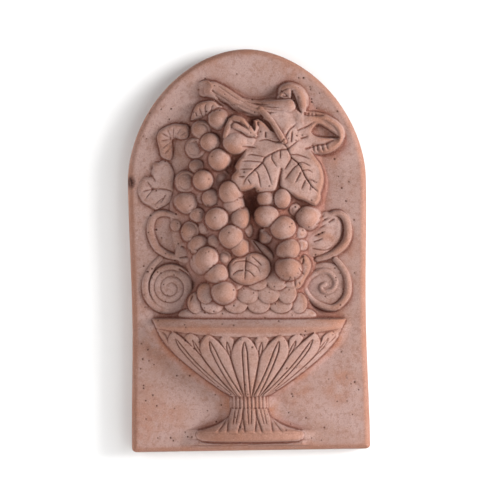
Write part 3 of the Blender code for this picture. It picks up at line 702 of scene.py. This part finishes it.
veins([[(43, -15), (45.5, -18.5), (49, -22.5)], [(40, -23.5), (40.5, -32)], [(36, -24.5), (31, -29.5)],
       [(44, -28), (44.5, -30.5)],
       [(47.5, -8), (46.5, -13)]], depth=1.5)
dome(35, -15.5, 8.5, 8.5, 31, 8.5)
leaf([(48, 31), (60.5, 31.5), (68, 32.5), (76, 29.5), (81, 22), (80.5, 12), (75, 3), (66, -3), (48, -3)],
     [(58, 26, 5), (70, 26, 3.4), (78, 16, 2.2), (60, 4, 4.5), (64, 18, 5), (74, 8, 2.2)],
     edge=3, droop=1.6, soft=1.2,
     steep=2)
veins([[(62, 27), (66, 30)], [(59, 22), (70, 28)], [(58, 17), (68, 22)], [(58, 12), (67, 16)],
       [(57, 7), (65, 10)],
       [(56, 1), (68, 0), (76, 6)], [(70, 24), (75, 27)]], width=0.6, depth=1.0)

leaf([(-60, 4), (-55, 7), (-50, 3), (-47, -5), (-50, -11), (-58, -10), (-63, -5)],
     [(-56, 0, 3.6), (-52, -6, 4.4)],
     edge=3, droop=1.6, soft=1.2, steep=2)
veins([[(-57, 3), (-51.5, 0), (-50.5, -5)], [(-59, -7), (-53.5, -6), (-48, -7)], [(-50, 0), (-47.5, -10.5)]],
      width=0.6, depth=1.3)

# Wear
# Moulded clay is never crisp: the press left every hollow slightly filled. Air left pinholes, rust has
# stained a few places, and a chip is gone from the left edge. The pinholes and the chip are marked for a
# near-black painted shade, and the rust mark also carries painted shade in the cove round the urn.


def soften(field, times):
    """Averages each place with its neighbours"""
    for _ in range(times):
        for axis in (0, 1):
            field = 0.5 * field + 0.25 * (np.roll(field, 1, axis) + np.roll(field, -1, axis))
    return field


def blur(field, reach):
    """Averages over a wide square, three times over"""
    for _ in range(3):
        for axis in (0, 1):
            padded = np.concatenate([np.repeat(np.take(field, [0], axis), reach + 1, axis), field,
                                     np.repeat(np.take(field, [-1], axis), reach, axis)], axis)
            summed = np.cumsum(padded, axis)
            ahead = np.take(summed, np.arange(2 * reach + 1, summed.shape[axis]), axis)
            behind = np.take(summed, np.arange(0, summed.shape[axis] - 2 * reach - 1), axis)
            field = (ahead - behind) / (2 * reach + 1)
    return field


STAINS = [
    (56, 117, 8), (-38, 139.5, 9), (17, 108, 7), (39, 155, 14), (1.5, -128, 16), (-65.5, 87.5, 8),
    (70.5, 12.5, 12), (-37, -28.5, 7), (-76, 24, 7), (-91.5, -146.5, 26), (-71.5, -142.5, 16),
    (53.5, 103, 10), (12, 125, 8), (83.5, -116.5, 22), (45, -125, 14), (-80, -86.5, 14), (-84.5, -43.5, 10),
    (79.5, -62.5, 12), (-15.5, -168.5, 22), (20.5, -129.5, 10), (-41.5, -67.5, 16), (6, 30, 12),
    (32, 24, 10), (-7, -4.5, 12), (-14, 86, 12), (62, 116, 9), (66.5, 101.5, 9), (75, 79, 10),
    (-37, 163.5, 18), (-97.5, 58.5, 8), (89.5, 0, 10), (43, -9, 6), (-76, 94.5, 8), (62, 0, 10),
    (66.5, 38.5, 6), (1.5, -26, 10),
]
PINHOLES = 230
PINHOLE_DEPTH = 0.9
CHIP = (-102, 58.5)
CHIP_DEPTH = 2.4
inner_clay = np.clip(inside_edge() / 8 - 0.6, 0, 1)
for reach, gap in ((9, 2.4), (4, 1.5)):
    filled = np.clip(blur(clay, reach) - gap - clay, 0, None)
    clay += inner_clay * filled * filled / (filled + 0.4)
# Rust at the slab's edges and in the listed stains; round the urn the same colour is painted shade in the
# cove.
rust_and_cove_shade = 1.1 * np.clip(1 - inside_edge() / 7, 0, 1) ** 1.2
rust_and_cove_shade = np.maximum(rust_and_cove_shade, 0.95 * cove_shade_and_stain)
for x, z, wide in STAINS:
    rust_and_cove_shade = np.maximum(rust_and_cove_shade, 0.68 * bump(np.hypot(X - x, Z - z), 0.9 * wide))
edge_rows = clay.copy()
clay = soften(clay, 1)
clay[[0, -1], :] = edge_rows[[0, -1], :]
clay[:, [0, -1]] = edge_rows[:, [0, -1]]
clay += 0.10 * lumps(5, 3)
# The pinholes and the chip are marked here for a near-black painted shade inside them.
holes = np.zeros(clay.shape)
random = np.random.default_rng(11)
for _ in range(PINHOLES):
    x = random.uniform(-HALF_WIDTH + 8, HALF_WIDTH - 8)
    z = random.uniform(FOOT + 6, TOP - 12)
    wide = random.uniform(0.35, 0.7)
    places = near(x - 2, x + 2, z - 2, z + 2)
    pinhole = bump(np.hypot(X[places] - x, Z[places] - z), wide)
    clay[places] -= PINHOLE_DEPTH * pinhole
    holes[places] = np.maximum(holes[places], pinhole)
places = near(-HALF_WIDTH, -HALF_WIDTH + 8, 50, 70)
chip = np.clip(1.6 - np.hypot((X[places] - CHIP[0]) / 3.2, (Z[places] - CHIP[1]) / 4.2), 0, 1)
clay = np.minimum(clay, -slab_low.y / MM - 0.05)
clay[places] -= CHIP_DEPTH * chip * (0.7 + 0.3 * lumps(1.4, 5)[places])
holes[places] = np.maximum(holes[places], 0.8 * chip)

# The body
# The plaque is one piece of clay: its modelled front, its sides and a plain, nearly flat back, with a
# pocket behind the head that takes the nail.
BACK_STEP = 3
POCKET = (16.0, 12.0, 10.0)
POCKET_HEIGHT = 130.0
TRIANGLES = 185000
TUCK = 0.9997
CREASE = math.radians(50)


def grid_faces(columns, rows, first, flipped):
    """The corners of each square of a grid of points that starts at the given number"""
    row, column = np.meshgrid(np.arange(rows), np.arange(columns), indexing="ij")
    corner = (first + row * (columns + 1) + column).ravel()
    faces = np.stack([corner, corner + 1, corner + columns + 2, corner + columns + 1], 1)
    return faces[:, ::-1] if flipped else faces


def edge_numbers(columns, rows, step):
    """The numbers of every so many points round the edge of a grid, in order"""
    row = columns + 1
    bottom = list(range(0, columns, step))
    right = [columns + row * number for number in range(0, rows, step)]
    top = [row * rows + number for number in range(columns, 0, -step)]
    left = [row * number for number in range(rows, 0, -step)]
    return bottom + right + top + left


def clay_body():
    """The closed body: front, back and the narrow sides between them"""
    back_x, back_z = FACE_X[::BACK_STEP, ::BACK_STEP], FACE_Z[::BACK_STEP, ::BACK_STEP]
    back_columns, back_rows = COLUMNS // BACK_STEP, ROWS // BACK_STEP
    back_y = -0.35 - 0.2 * lumps(22, 8)[::BACK_STEP, ::BACK_STEP]
    front = np.stack([FACE_X.ravel(), -clay.ravel(), FACE_Z.ravel()], 1)
    back = np.stack([back_x.ravel(), back_y.ravel(), back_z.ravel()], 1)
    first = len(front)
    faces = grid_faces(COLUMNS, ROWS, 0, False).tolist()
    faces += grid_faces(back_columns, back_rows, first, True).tolist()
    front_edge = edge_numbers(COLUMNS, ROWS, 1)
    back_edge = edge_numbers(back_columns, back_rows, 1)
    for number in range(len(back_edge)):
        start = BACK_STEP * number
        outer = [front_edge[(start + step) % len(front_edge)] for step in range(BACK_STEP, -1, -1)]
        faces.append(outer + [first + back_edge[number], first + back_edge[(number + 1) % len(back_edge)]])
    mesh = bpy.data.meshes.new("terracotta_plaque")
    points = np.vstack([front, back]) * [TUCK, 1, TUCK]
    mesh.from_pydata((points * MM).tolist(), [], faces)
    marks = {"recess": recess, "hollow": hollow, "crest": crest, "line": line, "rust_and_cove_shade": rust_and_cove_shade, "pinhole_and_chip_shade": holes}
    for name, field in marks.items():
        layer = mesh.attributes.new(name, "FLOAT", "POINT")
        values = np.concatenate([field.ravel(), np.zeros(len(back))])
        layer.data.foreach_set("value", values.astype(np.float32))
    mesh.validate()
    body = bpy.data.objects.new("terracotta_plaque", mesh)
    bpy.context.scene.collection.objects.link(body)
    return body


def cutter(name, low, high):
    """A plain block, only to cut with"""
    mesh = bpy.data.meshes.new(name)
    corners = [(x, y, z) for x in (low[0], high[0]) for y in (low[1], high[1]) for z in (low[2], high[2])]
    mesh.from_pydata([[value * MM for value in corner] for corner in corners], [],
                     [(0, 1, 3, 2), (4, 6, 7, 5), (0, 4, 5, 1), (2, 3, 7, 6), (0, 2, 6, 4), (1, 5, 7, 3)])
    block = bpy.data.objects.new(name, mesh)
    bpy.context.scene.collection.objects.link(block)
    return block


def settle(body):
    """Makes the modifiers of a piece part of its mesh"""
    made = body.evaluated_get(bpy.context.evaluated_depsgraph_get())
    mesh = bpy.data.meshes.new_from_object(made)
    body.modifiers.clear()
    body.data = mesh


close_by = blur(clay, 6)
# The hollow mark: hollows and pits are painted a deep red-brown, partly the browner clay and partly painted
# shade.
hollow = np.clip((close_by - clay - 0.3) / 4, 0, 1)
crest = np.clip((clay - close_by - 0.2) / 2.2, 0, 1)
# Below its rim band the urn takes the browner crest tone over its whole outline: the fascia and the foot
# fully, the bowl and collar only a little.
out = np.clip((urn_radius(Z) - np.abs(X - 1)) / 6, 0, 1)
# The line mark: narrow creases and cut lines are painted dark brown, a painted shade.
line = np.clip((blur(clay, 1) - clay - 0.03) / 0.24, 0, 1)
recess = np.clip((blur(clay, 16) - clay - 0.4) / 3.5, 0, 1)
edge_share = np.clip(inside_edge() / 5 - 0.6, 0, 1)
hollow *= edge_share
line *= edge_share
recess *= edge_share
crest = np.maximum(crest, 0.9 * np.clip(1 - inside_edge() / 8, 0, 1) ** 0.7)
petals = np.clip((FASCIA_FOOT + 2 - Z) / 3, 0, 1) * np.clip((Z - FLARE_FOOT) / 3, 0, 1)
out *= np.clip((BAND_FOOT + 3 - Z) / 3, 0, 1) * np.clip((Z - URN_FOOT + 1) / 3, 0, 1)
crest = np.maximum(crest * (1 - 0.7 * out * petals), out * (1 - 0.7 * petals))

plaque = clay_body()
fewer = plaque.modifiers.new("fewer", "DECIMATE")
fewer.ratio = TRIANGLES / (2 * COLUMNS * ROWS * (1 + 1 / BACK_STEP ** 2))
fewer.use_collapse_triangulate = True
settle(plaque)
half_wide, half_tall, deep = POCKET[0] / 2, POCKET[1] / 2, POCKET[2]
pocket = cutter("nail pocket", (-half_wide, -deep, POCKET_HEIGHT - half_tall),
                (half_wide, 3, POCKET_HEIGHT + half_tall))
hole = plaque.modifiers.new("nail pocket", "BOOLEAN")
hole.operation = "DIFFERENCE"
hole.solver = "EXACT"
hole.object = pocket
settle(plaque)
bpy.data.objects.remove(pocket)
plaque.data.shade_smooth()
plaque.data.set_sharp_from_angle(angle=CREASE)


# The finish
# Unglazed red clay with a pale pinkish bloom of dust and salts on its flats. Edges and crests show the
# browner bare clay, the urn below its rim band is browner as a whole, and rusty stains have run in a few
# places; in the cove round the urn the rusty colour is painted shade as well. Hollows are painted a deep
# red-brown, partly the browner clay and partly painted shade; narrow creases and cut lines carry a darker
# painted shade, and the pinholes and the chip a near-black painted shade.


def paint(name, roughness):
    """A new material with its tree and its surface node"""
    made = bpy.data.materials.new(name)
    made.use_nodes = True
    surface = made.node_tree.nodes["Principled BSDF"]
    surface.inputs["Roughness"].default_value = roughness
    return made, made.node_tree, surface


def linear(red, green, blue):
    """A colour as the eye reads it, in the renderer's own scale"""
    return [((value / 255 + 0.055) / 1.055) ** 2.4 for value in (red, green, blue)] + [1]


def noise(tree, scale, detail, coordinates, rough=0.55):
    """A cloud of tones"""
    node = tree.nodes.new("ShaderNodeTexNoise")
    node.inputs["Scale"].default_value = scale
    node.inputs["Detail"].default_value = detail
    node.inputs["Roughness"].default_value = rough
    tree.links.new(coordinates, node.inputs["Vector"])
    return node.outputs["Fac"]


def between(tree, value, low, high):
    """A tone from 0 to 1 as the value goes from low to high"""
    node = tree.nodes.new("ShaderNodeMapRange")
    node.inputs["From Min"].default_value = low
    node.inputs["From Max"].default_value = high
    tree.links.new(value, node.inputs["Value"])
    return node.outputs["Result"]


def times(tree, value, other):
    """One tone times another, or times a number"""
    node = tree.nodes.new("ShaderNodeMath")
    node.operation = "MULTIPLY"
    tree.links.new(value, node.inputs[0])
    if isinstance(other, float):
        node.inputs[1].default_value = other
    else:
        tree.links.new(other, node.inputs[1])
    return node.outputs[0]


def over(tree, under, colour, share):
    """Lays a colour over another by the given share"""
    node = tree.nodes.new("ShaderNodeMix")
    node.data_type = "RGBA"
    tree.links.new(share, node.inputs["Factor"])
    tree.links.new(under, node.inputs[6])
    if isinstance(colour, list):
        node.inputs[7].default_value = colour
    else:
        tree.links.new(colour, node.inputs[7])
    return node.outputs[2]


def mark(tree, name):
    """What the clay keeps of its own form, such as how hollow it is"""
    node = tree.nodes.new("ShaderNodeAttribute")
    node.attribute_name = name
    return node.outputs["Fac"]


BLOOM = linear(145, 116, 107)
PALE_BLOOM = linear(155, 128, 121)
BROWN = linear(142, 106, 91)
DUST = linear(166, 137, 132)
RUST_AND_SHADE = linear(142, 94, 72)
BARE_CLAY = linear(136, 92, 73)
BROWN_HOLLOW_SHADE = linear(118, 58, 40)
CREASE_SHADE = linear(84, 40, 28)
HOLE_SHADE = linear(62, 26, 18)
GRAIN = linear(126, 88, 75)
PALE_SAND = linear(172, 143, 134)
DARK_SAND = linear(104, 70, 59)

clay_paint, tree, surface = paint("terracotta", 0.92)
surface.inputs["Specular IOR Level"].default_value = 0.25
place = tree.nodes.new("ShaderNodeTexCoord").outputs["Object"]
cloud = noise(tree, 22, 5, place)
grain = noise(tree, 260, 4, place)
patches = noise(tree, 75, 6, place, 0.62)
start = tree.nodes.new("ShaderNodeRGB")
start.outputs[0].default_value = BLOOM
tone = over(tree, start.outputs[0], PALE_BLOOM, between(tree, cloud, 0.40, 0.62))
tone = over(tree, tone, BROWN, times(tree, between(tree, patches, 0.50, 0.66), 0.45))
dusty = times(tree, mark(tree, "recess"), between(tree, patches, 0.62, 0.42))
tone = over(tree, tone, DUST, times(tree, dusty, 0.4))
# Rust stains, and painted shade in the cove round the urn, in one rusty colour.
rust_and_shade_patches = times(tree, mark(tree, "rust_and_cove_shade"), between(tree, patches, 0.36, 0.60))
tone = over(tree, tone, RUST_AND_SHADE, times(tree, rust_and_shade_patches, 0.9))
tone = over(tree, tone, BARE_CLAY, times(tree, between(tree, mark(tree, "crest"), 0.1, 0.9), 0.68))
# Painted shade in the hollows and pits, a deep red-brown that also holds some of the browner clay.
tone = over(tree, tone, BROWN_HOLLOW_SHADE, times(tree, between(tree, mark(tree, "hollow"), 0.0, 0.8), 0.9))
# Painted shade along the narrow creases and cut lines.
tone = over(tree, tone, CREASE_SHADE, times(tree, between(tree, mark(tree, "line"), 0.0, 0.9), 0.85))
# Painted shade inside the pinholes and the chip, near-black.
tone = over(tree, tone, HOLE_SHADE, times(tree, between(tree, mark(tree, "pinhole_and_chip_shade"), 0.0, 0.7), 0.9))
tone = over(tree, tone, GRAIN, times(tree, between(tree, grain, 0.50, 0.66), 0.5))
sand = noise(tree, 900, 3, place, 0.7)
tone = over(tree, tone, PALE_SAND, times(tree, between(tree, sand, 0.55, 0.70), 0.45))
tone = over(tree, tone, DARK_SAND, times(tree, between(tree, sand, 0.45, 0.32), 0.5))
tree.links.new(tone, surface.inputs["Base Color"])
roughened = tree.nodes.new("ShaderNodeBump")
roughened.inputs["Strength"].default_value = 0.7
roughened.inputs["Distance"].default_value = 0.0006
tree.links.new(noise(tree, 520, 6, place, 0.75), roughened.inputs["Height"])
tree.links.new(roughened.outputs["Normal"], surface.inputs["Normal"])
plaque.data.materials.clear()
plaque.data.materials.append(clay_paint)
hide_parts("plaque")
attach(plaque, "root")

# The wall and the light
# The plaque hangs on a plain white wall that can't be seen from behind. Soft light comes from a window on
# its right and, weaker, from the front, the left and below. One more light stands behind, for the back.
WALL_GAP = 0.0004
FLOOR_LEVEL = -1.25
LENS = 181.3
CAMERA_PLACE = (0.00174, -2.2, -0.00023)


def flat(name, width, depth):
    """A plain rectangle"""
    mesh = bpy.data.meshes.new(name)
    mesh.from_pydata([(-width / 2, -depth / 2, 0), (width / 2, -depth / 2, 0), (width / 2, depth / 2, 0),
                      (-width / 2, depth / 2, 0)], [], [(0, 1, 2, 3)])
    made = bpy.data.objects.new(name, mesh)
    bpy.context.scene.collection.objects.link(made)
    return made


wall_paint, wall_tree, wall_surface = paint("white wall", 0.95)
wall_surface.inputs["Base Color"].default_value = (0.78, 0.78, 0.78, 1)
seen_from = wall_tree.nodes.new("ShaderNodeNewGeometry")
clear = wall_tree.nodes.new("ShaderNodeBsdfTransparent")
either = wall_tree.nodes.new("ShaderNodeMixShader")
wall_tree.links.new(seen_from.outputs["Backfacing"], either.inputs[0])
wall_tree.links.new(wall_surface.outputs[0], either.inputs[1])
wall_tree.links.new(clear.outputs[0], either.inputs[2])
wall_tree.links.new(either.outputs[0], wall_tree.nodes["Material Output"].inputs["Surface"])
wall = flat("wall", 4.0, 3.0)
wall.rotation_euler = (math.radians(90), 0, 0)
wall.location = (0, WALL_GAP, 0.2)
wall.data.materials.append(wall_paint)
wall.visible_shadow = False

floor_paint, _, floor_surface = paint("pale floor", 0.9)
floor_surface.inputs["Base Color"].default_value = (0.75, 0.74, 0.73, 1)
floor = flat("floor", 6.0, 6.0)
floor.location = (0, 0, FLOOR_LEVEL)
floor.data.materials.append(floor_paint)


def lamp(name, place, size, watts):
    """A soft square light that faces the plaque"""
    light = bpy.data.lights.new(name, "AREA")
    light.shape = "RECTANGLE"
    light.size, light.size_y = size
    light.energy = watts
    made = bpy.data.objects.new(name, light)
    made.location = place
    made.rotation_euler = made.location.to_track_quat("Z", "Y").to_euler()
    bpy.context.scene.collection.objects.link(made)


lamp("window light", (2.0, -0.86, 0.42), (1.0, 1.0), 84)
lamp("light in front", (1.5, -1.6, 0.0), (1.4, 1.4), 20)
lamp("room light", (-1.9, -0.9, 0.1), (1.6, 1.6), 31)
lamp("light from below", (0.2, -1.1, -1.15), (1.2, 1.2), 9)
lamp("light behind", (-0.9, 1.8, 0.6), (1.2, 1.2), 30)
sky = bpy.data.worlds.new("room")
sky.use_nodes = True
sky.node_tree.nodes["Background"].inputs["Color"].default_value = (1, 1, 1, 1)
sky.node_tree.nodes["Background"].inputs["Strength"].default_value = 0.15
bpy.context.scene.world = sky
bpy.context.scene.view_settings.view_transform = "Standard"

lens = bpy.data.cameras.new("camera")
lens.lens = LENS
camera = bpy.data.objects.new("camera", lens)
camera.location = CAMERA_PLACE
camera.rotation_euler = (math.radians(90), LEAN, 0)
bpy.context.scene.collection.objects.link(camera)
bpy.context.scene.camera = camera
